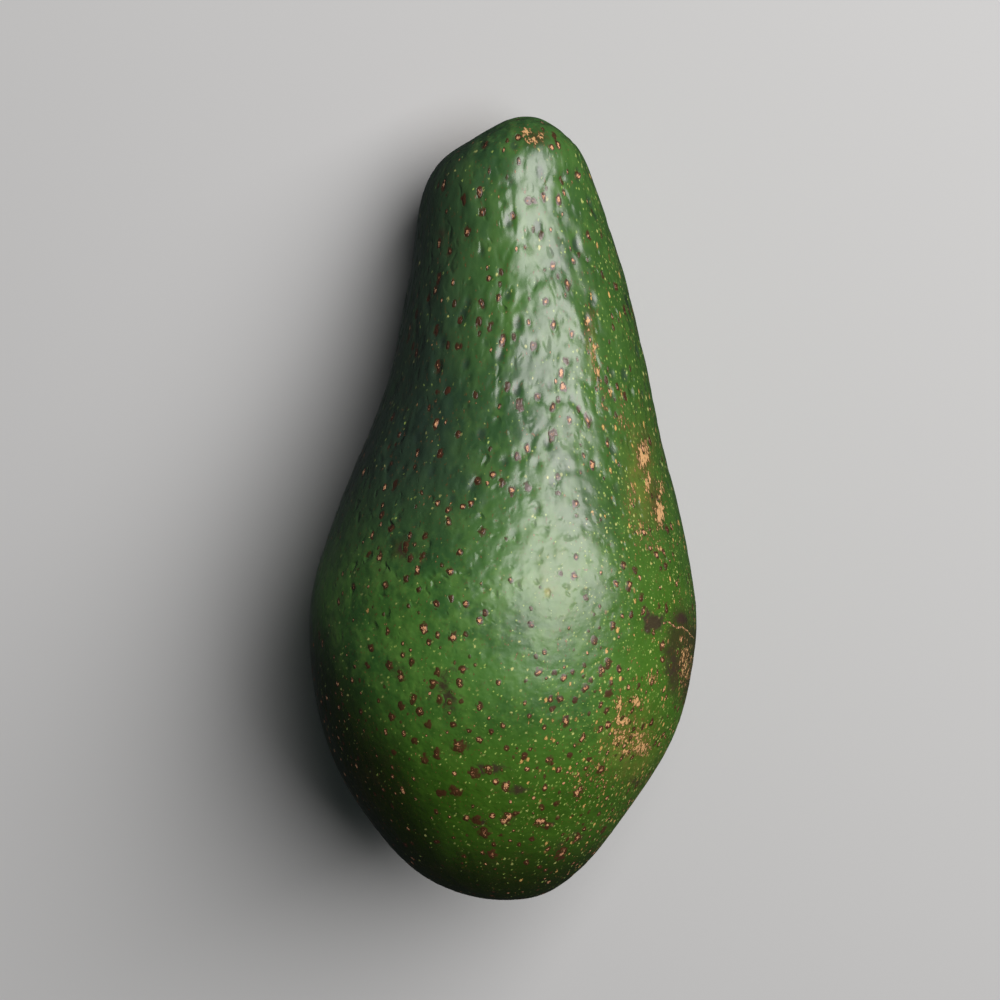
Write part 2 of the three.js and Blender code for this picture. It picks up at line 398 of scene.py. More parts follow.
PATCHES = {
    "dark": (
        Patch(654, 623, 1.7, 1.4, 1.6), Patch(646, 614, 0.8, 1.3, 1.3), Patch(648, 629, 1.0, 0.9, 1.3),
        Patch(662, 618, 1.0, 1.0, 0.8), Patch(681, 619, 1.3, 1.0, 1.3), Patch(402, 549, 1.1, 1.9, 0.9),
        Patch(444, 682, 1.2, 2.2, 0.95), Patch(455, 668, 1.0, 1.4, 0.7), Patch(448, 700, 2.0, 2.2, 1.0),
        Patch(440, 690, 2.6, 3.4, 0.55), Patch(398, 672, 1.4, 1.5, 0.8), Patch(488, 769, 3.0, 0.9, 1.3),
        # Patch(441, 234) and Patch(461, 238) are painted shade of a dent on the left of the neck.
        Patch(518, 790, 2.2, 0.8, 1.2), Patch(459, 746, 1.6, 1.2, 1.2), Patch(441, 234, 1.0, 1.1, 0.6),
        Patch(461, 238, 0.8, 1.0, 0.6), Patch(423, 560, 1.0, 1.4, 0.6), Patch(672, 668, 1.4, 4.5, 0.75),
        Patch(636, 781, 1.6, 1.0, 0.8), Patch(480, 824, 1.8, 1.0, 1.1), Patch(545, 825, 1.6, 0.9, 1.1),
        Patch(507, 818, 1.6, 1.0, 1.0), Patch(562, 852, 1.0, 1.6, 1.0), Patch(577, 836, 1.2, 1.2, 0.9),
    ),
    "brown": (
        Patch(684, 655, 3.2, 7.5, 1.0), Patch(690, 690, 2.0, 5.0, 0.8), Patch(660, 800, 2.6, 5.5, 0.55),
        Patch(645, 455, 1.6, 4.5, 0.55), Patch(655, 500, 1.6, 5.0, 0.5), Patch(588, 328, 1.2, 4.0, 0.5),
        Patch(535, 138, 2.6, 1.6, 0.45), Patch(630, 740, 5.0, 6.0, 0.3),
        Patch(370, 790, 6.0, 14.0, 0.3), Patch(450, 872, 16.0, 5.0, 0.2),
        Patch(555, 578, 2.2, 1.6, 0.3), Patch(400, 552, 4.0, 2.4, 0.3),
    ),
    "yellow": (
        # The broad yellow patch round (556, 585) is partly the skin's own yellower tone and partly a
        # painted highlight where the light shines most on the belly.
        Patch(548, 592, 0.66, 0.8, 1.3), Patch(556, 585, 9.0, 14.0, 0.3),
        Patch(591, 345, 1.1, 6.0, 0.5), Patch(640, 480, 4.0, 13.0, 0.45),
        Patch(630, 745, 7.0, 9.0, 0.45),
    ),
    "russet": (
        Patch(526, 132, 1.0, 0.8, 1.2), Patch(533, 140, 1.8, 0.9, 0.9), Patch(541, 136, 0.8, 0.7, 0.9),
        Patch(589, 325, 0.7, 3.4, 0.65), Patch(593, 352, 0.6, 3.0, 0.7), Patch(598, 375, 0.5, 3.0, 0.7),
        Patch(604, 400, 0.6, 3.0, 0.6), Patch(622, 420, 0.8, 4.0, 0.55),
        Patch(632, 500, 0.8, 5.0, 0.55), Patch(643, 455, 1.1, 2.6, 1.35),
        Patch(648, 482, 0.7, 1.9, 1.2), Patch(660, 512, 0.9, 2.6, 1.35), Patch(661, 488, 0.7, 1.8, 0.9),
        Patch(643, 530, 1.8, 1.6, 0.7), Patch(655, 548, 1.6, 1.4, 0.6), Patch(619, 706, 0.8, 1.8, 1.2),
        Patch(622, 721, 1.6, 0.8, 1.4), Patch(636, 702, 0.9, 1.1, 1.2), Patch(640, 748, 1.8, 1.4, 1.0),
        Patch(627, 752, 1.2, 1.0, 1.0), Patch(619, 738, 1.6, 2.0, 0.8), Patch(636, 735, 2.6, 2.6, 0.7),
        Patch(578, 790, 1.4, 1.0, 1.0), Patch(600, 770, 2.4, 3.0, 0.55), Patch(576, 775, 2.2, 0.7, 0.7),
        Patch(652, 679, 1.0, 1.0, 1.0), Patch(685, 665, 1.4, 4.0, 0.75),
    ),
}


@dataclass
class FruitSkin:
    """The skin of the whole fruit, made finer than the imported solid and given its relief.

    Attributes:
        lie: How the fruit lies.
        grain: The skin's pattern space.
        node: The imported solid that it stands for.
        stem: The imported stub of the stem.
        calming_rounds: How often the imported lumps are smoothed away.
        calming: How strongly each time.
        levels: Subdivision levels.
        undulation: Size and height of the broad waves.
        pit: Spacing and depth of the pits.
        pit_edge: Where a pit starts and where it is deepest, as shares of its spacing.
        lump: Size and height of the low lumps between them.
        groove: Size of the pebbles and depth of the grooves that part them here and there.
        groove_edge: Where a groove starts and where it is deepest.
        field: Size of the areas that have grooves.
        field_edge: Where such an area starts and where it is full.
        belly_share: How strong all these are on the belly, as a share of the neck's.
        stem_share: How strong they are round the stem, as a share of elsewhere.
        stem_calm: From how far to how far from the stem they grow to their full strength.
        cavity_radius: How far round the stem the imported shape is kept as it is.
        stem_cork: How far round the stem the skin is corky, from nowhere to fully.
        scar_radius: The radius of the small dark scar at the blossom end.
        scar_core: How much of that radius is at its full depth.
        scar_depth: How deep it lies.
        scar_cork: How far round it the skin is corky, from nowhere to fully.
        cork_strength: How strong the cork is round the stem and round the scar.
        scar_strength: How dark the scar is.
        dip_reach: How far the skin sinks round a speck, in radii of the speck.
        dip_width: The half width of the dip, in the same measure.
        dip_depth: Its depth on the belly, and what the neck adds, in the same measure.
        upper: How far out the patches fade in, so that they are on the picture's side alone.
    """

    lie: Lie
    grain: Grain
    node: bpy.types.Object
    stem: bpy.types.Object
    calming_rounds: int = 9
    calming: float = 0.5
    levels: int = 2
    undulation: Span = (17.0, 0.25)
    pit: Span = (3.3, 0.26)
    pit_edge: Span = (0.36, 0.08)
    lump: Span = (3.2, 0.1)
    groove: Span = (3.9, 0.13)
    groove_edge: Span = (0.24, 0.02)
    field: float = 5.0
    field_edge: Span = (0.25, -0.15)
    belly_share: float = 0.3
    stem_share: float = 0.25
    stem_calm: Span = (5.0, 13.0)
    cavity_radius: Span = (6.5, 12.0)
    stem_cork: Span = (8.5, 4.0)
    scar_radius: float = 1.9
    scar_core: float = 0.4
    scar_depth: float = 0.35
    scar_cork: Span = (3.6, 1.8)
    cork_strength: Span = (1.1, 0.75)
    scar_strength: float = 1.2
    dip_reach: float = 3.5
    dip_width: float = 0.95
    dip_depth: Span = (0.05, 0.2)
    upper: Span = (-2.0, 2.0)

    def smooth(self, bm: bmesh.types.BMesh) -> None:
        """Averages every vertex with its neighbours, several times over."""
        for _ in range(self.calming_rounds):
            bmesh.ops.smooth_vert(
                bm, verts=bm.verts, factor=self.calming, use_axis_x=True, use_axis_y=True, use_axis_z=True
            )

    def calm(self, bm: bmesh.types.BMesh) -> None:
        """Takes the small lumps off the skin, and keeps its broad form and the stem's cavity.

        Args:
            bm: The skin. Its vertices move.
        """
        packed = np.array([v.co for v in bm.verts])
        self.smooth(bm)
        calmed = np.array([v.co for v in bm.verts])
        for vert, lost in zip(bm.verts, packed - calmed, strict=True):
            vert.co = lost
        self.smooth(bm)
        calmed += np.array([v.co for v in bm.verts])
        away = np.linalg.norm(packed - np.array(self.stem_place()), axis=1) / MM
        share = smoothstep(away, *self.cavity_radius)[:, None]
        for vert, place in zip(bm.verts, packed + (calmed - packed) * share, strict=True):
            vert.co = place

    def stem_place(self) -> Vector:
        """The middle of the stem's stub."""
        low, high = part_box(self.stem.name)
        return (low + high) / 2

    def stem_outward(self, skin: bpy.types.Object) -> Vector:
        """Finds the direction that the skin round the stem faces.

        Args:
            skin: The finished skin.

        Returns:
            The direction.
        """
        stem, reach = self.stem_place(), self.cavity_radius[1] * MM
        near = (v.normal for v in skin.data.vertices if (v.co - stem).length < reach)
        return sum(near, Vector()).normalized()

    def fine_mesh(self) -> bpy.types.Mesh:
        """The calmed skin after its subdivision."""
        bm = quads(self.node, math.pi)
        self.calm(bm)
        return subdivided("skin", bm, self.levels)

    def relief(self, measured: np.ndarray, away: np.ndarray) -> tuple[np.ndarray, np.ndarray]:
        """Works out how far the skin rises over its smooth form.

        Args:
            measured: The vertices in the fruit's own frame.
            away: How far each lies from the stem.

        Returns:
            The rise in millimetres, and how deep in a pit each vertex is, from 0 to 1.
        """
        neck = self.grain.neck(measured[:, 1])
        calm = smoothstep(away, *self.stem_calm)
        share = self.belly_share + (1.0 - self.belly_share) * neck
        share *= self.stem_share + (1.0 - self.stem_share) * calm
        spots = [Vector(spot) for spot in self.grain.of(measured)]
        broad = np.array([noise.noise(spot / self.undulation[0]) for spot in spots])
        lump = np.array([noise.noise(spot / self.lump[0] + NOISE_SHIFT) for spot in spots])
        whole = np.array([noise.noise(spot / self.field - NOISE_SHIFT) for spot in spots])
        nearest = np.array([noise.voronoi(spot / self.pit[0])[0][0] for spot in spots])
        pits = smoothstep(nearest, *self.pit_edge)
        places = [spot / self.groove[0] + NOISE_SHIFT for spot in spots]
        pebbles = np.array([noise.voronoi(place)[0][:2] for place in places])
        grooves = smoothstep(pebbles[:, 1] - pebbles[:, 0], *self.groove_edge)
        grooves *= smoothstep(whole, *self.field_edge)
        fine = self.lump[1] * lump - self.pit[1] * pits - self.groove[1] * grooves
        return self.undulation[1] * broad * calm + fine * share, pits * share

    def dips(self, points: np.ndarray, specks: Sequence[Placed]) -> np.ndarray:
        """Works out how far the skin sinks round its specks.

        Args:
            points: The vertices of the smooth skin, in metres.
            specks: The specks.

        Returns:
            Millimetres, one number to a vertex.
        """
        tree = KDTree(len(points))
        for i, point in enumerate(points):
            tree.insert(point, i)
        tree.balance()
        sink = np.zeros(len(points))
        neck = self.grain.neck(self.lie.measured(points)[:, 1])
        axis = np.array(self.lie.along)
        shallow, added = self.dip_depth
        for speck in specks:
            found = tree.find_range(speck.place, self.dip_reach * speck.radius * MM)
            near = [index for _, index, _ in found]
            away = points[near] - np.array(speck.place)
            lengthwise = away @ axis
            sideways = np.linalg.norm(away - lengthwise[:, None] * axis, axis=1)
            reach = np.hypot(sideways, lengthwise / speck.stretch) / (speck.radius * MM)
            dip = np.exp(-((reach / self.dip_width) ** 2)) * speck.radius
            sink[near] += dip * (shallow + added * neck[near])
        return sink

    def build(self, chooser: "SpeckChooser") -> tuple[bpy.types.Object, list[Placed]]:
        """Makes the skin and chooses where its specks are.

        Args:
            chooser: Chooses the specks on the smooth skin.

        Returns:
            The skin's object, and its specks.
        """
        mesh = self.fine_mesh()
        points = np.array([v.co for v in mesh.vertices])
        normals = np.array([v.normal for v in mesh.vertices])
        specks = chooser.choose(mesh)
        away = np.linalg.norm(points - np.array(self.stem_place()), axis=1) / MM
        rise, pits = self.relief(self.lie.measured(points), away)
        tip = points[np.argmin(points @ np.array(self.lie.along))]
        from_tip = np.linalg.norm(points - tip, axis=1) / MM
        scar = smoothstep(from_tip, self.scar_radius, self.scar_core * self.scar_radius)
        rise -= self.dips(points, specks) + self.scar_depth * scar
        points += normals * rise[:, None] * MM
        points[:, 2] = np.maximum(points[:, 2], 0.0)
        reshape(mesh, points)
        write_grain(mesh, self.grain.of(self.lie.measured(points)))
        # The depth in a pit is kept so that the material can paint shade into the pits.
        write_values(mesh, "pit", pits)
        at_stem = self.cork_strength[0] * smoothstep(away, *self.stem_cork)
        at_tip = self.cork_strength[1] * smoothstep(from_tip, *self.scar_cork) * (1.0 - scar)
        marks = {name: self.patches(points, patches) for name, patches in PATCHES.items()}
        marks["dark"] += self.scar_strength * scar
        marks["russet"] += at_stem + at_tip
        for name, values in marks.items():
            write_values(mesh, name, values)
        return in_scene("avocado_skin", mesh), specks

    def patches(self, points: np.ndarray, patches: Iterable[Patch]) -> np.ndarray:
        """Works out how strongly the soft patches of one kind mark each point.

        Args:
            points: Points on the skin, in metres.
            patches: The patches, by their places in the picture.

        Returns:
            One number to a point.
        """
        measured = self.lie.measured(points)
        upper = smoothstep(measured[:, 2], *self.upper)
        eye = self.lie.measured(np.array([self.lie.eye()]))[0]
        seen = eye + (measured - eye) * (eye[2] / (eye[2] - measured[:, 2]))[:, None]
        total = np.zeros(len(points))
        for patch in patches:
            middle = self.lie.measured(np.array([self.lie.at_pixel(patch.column, patch.row)]))[0]
            x = (seen[:, 0] - middle[0]) / patch.across
            y = (seen[:, 1] - middle[1]) / patch.along
            total = np.maximum(total, patch.strength * np.exp(-(x * x + y * y)) * upper)
        return total


class Apart:
    """Keeps the places that were claimed a least distance apart."""

    def __init__(self, reach: float) -> None:
        """Starts with no place claimed; reach is the least distance."""
        self.reach = reach
        self.cells: dict[tuple[int, int, int], list[Vector]] = {}

    def claim(self, place: Vector) -> bool:
        """Claims a place.

        Args:
            place: The place.

        Returns:
            Whether it was free.
        """
        x, y, z = (math.floor(c / self.reach) for c in place)
        for i in (x - 1, x, x + 1):
            for j in (y - 1, y, y + 1):
                for k in (z - 1, z, z + 1):
                    for other in self.cells.get((i, j, k), ()):
                        if (other - place).length < self.reach:
                            return False
        self.cells.setdefault((x, y, z), []).append(place)
        return True


@dataclass
class SpeckChooser:
    """Chooses the specks: those that the picture shows, and others at random all over the skin.

    Attributes:
        lie: How the fruit lies.
        grain: The skin's pattern space.
        stem_place: The middle of the stem's stub.
        seen_scale: The radius of a seen speck's dome, as a share of its dark ring's.
        spacing: The least distance between two random specks, in millimetres.
        from_seen: The least distance of a random speck from a seen one.
        from_stem: The least distance of a random speck from the stem.
        seed: Of the random draw.
        clump: The size of the clumps that the random specks gather in, in millimetres.
        clumping: How much denser than the mean a clump is.
        crumb_step_px: How far apart the crumbs of the scratch are in the picture.
        crumb_radius: Their radius, in millimetres.
        radius: The least radius of a random speck, and what the largest adds.
        ring: How dark the ring of the least random speck is, and what the largest adds.
        stretch: The least stretch of a random speck, and what the neck and chance add.
        tone: The tone of the palest on the neck, and how much of the rest the belly adds.
        share: The share of the random specks that stay anywhere.
        lower_share: What is added towards the blossom end.
        lower_right_share: What is added at its right.
        middle_share: What is taken away in the middle of the belly.
        lower_along: From where to where the blossom end's share grows.
        lower_right_along: From where to where its right's share grows, along.
        lower_right_across: The same across.
        middle_place: The middle of the belly, across and along.
        middle_size: How far it reaches, across and along.
    """

    lie: Lie
    grain: Grain
    stem_place: Vector
    seen_scale: float = 0.85
    spacing: float = 1.55
    from_seen: float = 1.5
    from_stem: float = 7.0
    seed: int = 11
    clump: float = 9.0
    clumping: float = 0.9
    crumb_step_px: float = 1.5
    crumb_radius: float = 0.4
    radius: Span = (0.36, 0.45)
    ring: Span = (0.65, 0.3)
    stretch: tuple[float, float, float] = (1.1, 0.6, 0.3)
    tone: Span = (0.95, 0.28)
    share: float = 0.17
    lower_share: float = 0.19
    lower_right_share: float = 0.3
    middle_share: float = 0.1
    lower_along: Span = (70.0, 25.0)
    lower_right_along: Span = (60.0, 35.0)
    lower_right_across: Span = (-2.0, 14.0)
    middle_place: Span = (8.0, 52.0)
    middle_size: Span = (11.0, 18.0)

    def seen(self, mesh: bpy.types.Mesh) -> list[Placed]:
        """Finds the specks that the picture shows.

        Args:
            mesh: The smooth skin.

        Returns:
            The specks, on the skin where their pixels meet it.
        """
        tree = BVHTree.FromPolygons([v.co for v in mesh.vertices], [p.vertices for p in mesh.polygons])
        eye = self.lie.eye()
        found = []
        for speck in (*SEEN_SPECKS, *self.scratch()):
            sight = (self.lie.at_pixel(speck.column, speck.row) - eye).normalized()
            place, outward, _, _ = tree.ray_cast(eye, sight)
            if place is not None:
                radius = self.seen_scale * speck.radius
                found.append(Placed(place, outward, radius, speck.tone, speck.stretch))
        return found

    def scratch(self) -> list[Speck]:
        """The crumbs of cork along the healed scratch."""
        crumbs = []
        for (x, y), (next_x, next_y) in zip(SCRATCH, SCRATCH[1:]):
            steps = max(1, round(math.hypot(next_x - x, next_y - y) / self.crumb_step_px))
            for step in range(steps):
                share = step / steps
                column, row = x + (next_x - x) * share, y + (next_y - y) * share
                crumbs.append(Speck(column, row, self.crumb_radius, 1.0, 1.0))
        return crumbs

    def density(self, measured: Sequence[float]) -> float:
        """Works out the share of the random specks that stay.

        Args:
            measured: A place in the fruit's own frame.

        Returns:
            The share at that place.
        """
        across, along, out = measured
        lower_right = ease(across, *self.lower_right_across) * ease(along, *self.lower_right_along)
        lower = ease(along, *self.lower_along)
        x = (across - self.middle_place[0]) / self.middle_size[0]
        y = (along - self.middle_place[1]) / self.middle_size[1]
        middle = math.exp(-(x**2 + y**2)) if out > 0 else 0.0
        clump = noise.noise(Vector((across, along, out)) / self.clump)
        share = self.share + self.lower_share * lower + self.lower_right_share * lower_right
        share -= self.middle_share * middle
        return share * (1.0 + self.clumping * clump)

    def choose(self, mesh: bpy.types.Mesh) -> list[Placed]:
        """Chooses all specks of the skin.

        Args:
            mesh: The smooth skin.

        Returns:
            The seen specks first, then the random ones.
        """
        specks = self.seen(mesh)
        draw = random.Random(self.seed)
        taken = KDTree(len(specks))
        for i, speck in enumerate(specks):
            taken.insert(speck.place, i)
        taken.balance()
        order = list(range(len(mesh.vertices)))
        draw.shuffle(order)
        measured = self.lie.measured(np.array([v.co for v in mesh.vertices]))
        neck = self.grain.neck(measured[:, 1])
        apart = Apart(self.spacing * MM)
        for index in order:
            vert = mesh.vertices[index]
            place = vert.co.copy()
            if not apart.claim(place):
                continue
            kept = draw.random() < self.density(measured[index])
            size, tone = draw.random(), draw.random()
            near_seen = taken.find(place)[2] < self.from_seen * MM
            if not kept or near_seen or (place - self.stem_place).length < self.from_stem * MM:
                continue
            radius = self.radius[0] + self.radius[1] * size * size
            on_neck = float(neck[index])
            stretch = self.stretch[0] + self.stretch[1] * on_neck + self.stretch[2] * draw.random()
            tone = self.tone[0] * tone + self.tone[1] * (1.0 - tone) * (1.0 - on_neck)
            ring = self.ring[0] + self.ring[1] * size
            specks.append(Placed(place, vert.normal.copy(), radius, tone, stretch, ring))
        return specks


@dataclass
class CorkySpecks:
    """Low domes of cork that stand in the skin, each a dark ring round a paler middle.

    Attributes:
        lie: How the fruit lies.
        grain: The skin's pattern space.
        sides: Corners of each dome.
        rings: The radius of each ring, as a share of the dome's.
        rim_depth: How far the rim lies under the skin, in millimetres.
        rim_edge: Where the rim is deepest and where it ends, as shares of the way to the middle.
        height: How far the middle stands over the skin.
        rise_edge: Where the rise starts and where it is full, in the same shares.
        raggedness: How far the outline wanders in and out, as a share of the radius.
        wander_pace: How fast it wanders.
        own_noise: How far apart the noises of two specks are, to a metre between their places.
        reach: From how far out the skin is looked for under a corner, in millimetres.
    """

    lie: Lie
    grain: Grain
    sides: int = 12
    rings: tuple[float, ...] = (0.8, 0.56, 0.3)
    rim_depth: float = 0.03
    rim_edge: Span = (0.0, 0.2)
    height: float = 0.07
    rise_edge: Span = (0.05, 0.75)
    raggedness: float = 0.35
    wander_pace: float = 1.2
    own_noise: float = 997.0
    reach: float = 2.0

    def dome(self) -> bpy.types.Mesh:
        """A flat disc of rings with a middle point, one wide."""
        bm = bmesh.new()
        bmesh.ops.create_circle(bm, cap_ends=True, segments=self.sides, radius=1.0)
        inner = 1.0
        for ring in self.rings:
            face = max(bm.faces, key=lambda f: len(f.verts))
            inset = bmesh.ops.extrude_discrete_faces(bm, faces=[face])["faces"][0]
            bmesh.ops.scale(bm, vec=(ring / inner,) * 3, verts=inset.verts)
            inner = ring
        bmesh.ops.remove_doubles(bm, verts=bm.verts, dist=MERGE)
        face = max(bm.faces, key=lambda f: len(f.verts))
        bmesh.ops.poke(bm, faces=[face])
        return finished("speck_dome", bm)

    def set_corner(self, vert: bmesh.types.BMVert, speck: Placed, skin: BVHTree) -> float:
        """Moves one corner of a flat dome to where it stands in the skin.

        Args:
            vert: The corner.
            speck: The speck that the dome stands for.
            skin: The finished skin.

        Returns:
            How near it is to the middle, from 0 at the rim to 1.
        """
        lengthwise = (self.lie.along - speck.outward * self.lie.along.dot(speck.outward)).normalized()
        sideways = lengthwise.cross(speck.outward)
        body = 1.0 - vert.co.length
        x, y = vert.co.x, vert.co.y
        own = speck.place.length * self.own_noise
        wander = noise.noise(Vector((x * self.wander_pace, y * self.wander_pace, own)))
        wide = speck.radius * MM * (1.0 + self.raggedness * wander)
        aim = speck.place + sideways * (x * wide) + lengthwise * (y * wide * speck.stretch)
        hit, normal, _, _ = skin.ray_cast(aim + speck.outward * self.reach * MM, -speck.outward)
        if hit is None:
            hit, normal = aim, speck.outward
        lift = self.height * speck.radius * ease(body, *self.rise_edge)
        lift -= self.rim_depth * (1.0 - ease(body, *self.rim_edge))
        vert.co = hit + normal * lift * MM
        vert.co.z = max(vert.co.z, 0.0)
        return body

    def build(self, skin: bpy.types.Object, specks: Sequence[Placed]) -> bpy.types.Object:
        """Stands a dome at each speck.

        Args:
            skin: The finished skin.
            specks: Their places.

        Returns:
            The object that holds all of them.
        """
        tree = BVHTree.FromPolygons(
            [v.co for v in skin.data.vertices], [p.vertices for p in skin.data.polygons]
        )
        dome = self.dome()
        bm = bmesh.new()
        looks: list[tuple[float, float, float]] = []
        for speck in specks:
            start = len(bm.verts)
            bm.from_mesh(dome)
            bm.verts.ensure_lookup_table()
            for vert in bm.verts[start:]:
                looks.append((self.set_corner(vert, speck, tree), speck.tone, speck.ring))
        bpy.data.meshes.remove(dome)
        for face in bm.faces:
            face.smooth = True
        mesh = finished("corky_specks", bm)
        for name, values in zip(("speck", "tone", "ring"), np.array(looks).T, strict=True):
            write_values(mesh, name, values)
        points = np.array([v.co for v in mesh.vertices])
        write_grain(mesh, self.grain.of(self.lie.measured(points)))
        return in_scene("corky_specks", mesh)


Socket = bpy.types.NodeSocket
Input = Socket | float | tuple[float, ...]


class Graph:
    """Adds and joins the nodes of one material."""

    def __init__(self, name: str) -> None:
        """Starts an empty material of that name."""
        self.material = bpy.data.materials.new(name)
        self.material.use_nodes = True
        self.tree = self.material.node_tree
        self.tree.nodes.clear()

    def add(self, kind: str, **settings: object) -> bpy.types.Node:
        """Adds a node.

        Args:
            kind: Its type, without the first word.
            **settings: Its properties.

        Returns:
            The node.
        """
        node = self.tree.nodes.new("ShaderNode" + kind)
        for name, value in settings.items():
            setattr(node, name, value)
        return node

    def feed(self, socket: Socket, source: Input) -> None:
        """Links a source to a socket, or sets the socket to a plain value.

        Args:
            socket: An input.
            source: An output, a number, a vector or a colour.
        """
        if isinstance(source, bpy.types.NodeSocket):
            self.tree.links.new(source, socket)
        elif isinstance(source, tuple) and len(source) == 3 and socket.type == "RGBA":
            socket.default_value = (*source, 1.0)
        else:
            socket.default_value = source

    def surface(self, **inputs: Input) -> bpy.types.Material:
        """Ends the material in a surface shader.

        Args:
            **inputs: What its sockets get, with underscores for the spaces in their names.

        Returns:
            The material.
        """
        shader = self.add("BsdfPrincipled")
        for name, source in inputs.items():
            self.feed(shader.inputs[name.replace("_", " ")], source)
        self.feed(self.add("OutputMaterial").inputs["Surface"], shader.outputs[0])
        return self.material

    def attribute(self, name: str, output: str = "Fac") -> Socket:
        """Reads an attribute of the mesh."""
        return self.add("Attribute", attribute_name=name).outputs[output]

    def math(self, operation: str, first: Input, second: Input, third: Input = 0.0) -> Socket:
        """Works out one step of arithmetic.

        Args:
            operation: Its name.
            first: The first number.
            second: The second.
            third: The third, where the operation has one.

        Returns:
            The result.
        """
        node = self.add("Math", operation=operation)
        for socket, source in zip(node.inputs, (first, second, third), strict=True):
            self.feed(socket, source)
        return node.outputs[0]

    def times(self, first: Input, second: Input) -> Socket:
        """Multiplies two numbers."""
        return self.math("MULTIPLY", first, second)

    def scaled_on(self, first: Input, second: Input, base: Input) -> Socket:
        """Multiplies two numbers and adds the product to a third."""
        return self.math("MULTIPLY_ADD", first, second, base)

    def greater(self, first: Input, second: Input) -> Socket:
        """The greater of two numbers."""
        return self.math("MAXIMUM", first, second)

    def band(self, value: Input, low: Input, high: Input, top: Input = 1.0, bottom: Input = 0.0) -> Socket:
        """Rises smoothly between two values.

        Args:
            value: The number that decides.
            low: Where the rise starts.
            high: Where it ends. It may be under low.
            top: What comes out at high and past it.
            bottom: What comes out at low and before it.

        Returns:
            The result.
        """
        node = self.add("MapRange", interpolation_type="SMOOTHSTEP", clamp=True)
        names = ("Value", "From Min", "From Max", "To Min", "To Max")
        for name, source in zip(names, (value, low, high, bottom, top), strict=True):
            self.feed(node.inputs[name], source)
        return node.outputs["Result"]

    def between(self, share: Input, first: Input, last: Input) -> Socket:
        """Goes smoothly from the first number to the last while the share rises from 0 to 1."""
        return self.band(share, 0.0, 1.0, last, first)

    def mix(self, share: Input, first: Input, second: Input) -> Socket:
        """Mixes two colours.

        Args:
            share: How much of the second.
            first: The first colour.
            second: The second.

        Returns:
            The mixture.
        """
        node = self.add("Mix", data_type="RGBA", clamp_factor=True)
        for index, source in ((0, share), (6, first), (7, second)):
            self.feed(node.inputs[index], source)
        return node.outputs[2]

    def noise(self, vector: Input, size: float, detail: float, rough: float) -> Socket:
        """Reads a soft noise.

        Args:
            vector: The pattern space.
            size: About how large its lumps are.
            detail: How many finer layers it has.
            rough: How strong these are.

        Returns:
            Numbers round 0.5.
        """
        node = self.add("TexNoise", noise_dimensions="3D")
        self.feed(node.inputs["Vector"], vector)
        node.inputs["Scale"].default_value = 1.0 / size
        node.inputs["Detail"].default_value = detail
        node.inputs["Roughness"].default_value = rough
        return node.outputs["Fac"]

    def cells(self, vector: Input, size: float) -> bpy.types.Node:
        """Adds a cell pattern.

        Args:
            vector: The pattern space.
            size: About how large its cells are.

        Returns:
            The node.
        """
        node = self.add("TexVoronoi", feature="F1", voronoi_dimensions="3D")
        self.feed(node.inputs["Vector"], vector)
        node.inputs["Scale"].default_value = 1.0 / size
        return node

    def shifted(self, vector: Input, shift: Input) -> Socket:
        """Moves a pattern space by the same number in each direction.

        Args:
            vector: The pattern space.
            shift: The number.

        Returns:
            The moved space.
        """
        node = self.add("VectorMath", operation="ADD")
        self.feed(node.inputs[0], vector)
        self.feed(node.inputs[1], shift)
        return node.outputs["Vector"]

    def drawn(self, vector: Input, shrink: float) -> Socket:
        """Draws a pattern out along the fruit.

        Args:
            vector: The pattern space.
            shrink: The scale of the space along the fruit.

        Returns:
            The scaled space.
        """
        node = self.add("Mapping")
        self.feed(node.inputs["Vector"], vector)
        node.inputs["Scale"].default_value = (1.0, shrink, 1.0)
        return node.outputs["Vector"]

    def split(self, vector: Input) -> list[Socket]:
        """Takes a vector or a colour apart.

        Args:
            vector: The vector or colour.

        Returns:
            Its three numbers.
        """
        node = self.add("SeparateXYZ")
        self.feed(node.inputs[0], vector)
        return list(node.outputs)

    def bump(self, height: Input, distance: float, strength: float) -> Socket:
        """Turns a height into a bent surface direction.

        Args:
            height: The height.
            distance: The length of one unit of height, in metres.
            strength: How much of it shows.

        Returns:
            The direction.
        """
        node = self.add("Bump")
        self.feed(node.inputs["Height"], height)
        node.inputs["Distance"].default_value = distance
        node.inputs["Strength"].default_value = strength
        return node.outputs["Normal"]


@dataclass(frozen=True)
class Dots:
    """One size of pale or tan dots: their spacing, least and greatest radius in millimetres, and colour."""

    spacing: float
    small: float
    large: float
    colour: Colour


class SkinGraph(Graph):
    """The skin's material while it is made.

    Attributes:
        grain: The pattern space.
        across: Its first number.
        along: Its second number.
        colour: The colour so far.
    """

    def __init__(self) -> None:
        """Starts the material with its pattern space and no colour."""
        super().__init__("avocado_skin")
        self.grain = self.attribute("grain", "Vector")
        self.across, self.along, _ = self.split(self.grain)
        self.colour: Input = (0.0, 0.0, 0.0)

    def swayed(self, noise: Noise, sway: Span) -> Socket:
        """Moves the pattern space to and fro by a noise.

        Args:
            noise: The noise.
            sway: How far off its middle the noise gives the most, and the most in millimetres.

        Returns:
            The moved space.
        """
        spread, most = sway
        value = self.noise(self.grain, *noise)
        return self.shifted(
            self.grain, self.band(value, NOISE_MIDDLE - spread, NOISE_MIDDLE + spread, most, -most)
        )

    def ragged(self, noise: Noise) -> Socket:
        """Reads a noise as numbers round 0."""
        return self.math("SUBTRACT", self.noise(self.grain, *noise), NOISE_MIDDLE)

    def tint(self, share: Input, colour: Input) -> None:
        """Mixes a share of another colour into the colour so far."""
        self.colour = self.mix(share, self.colour, colour)


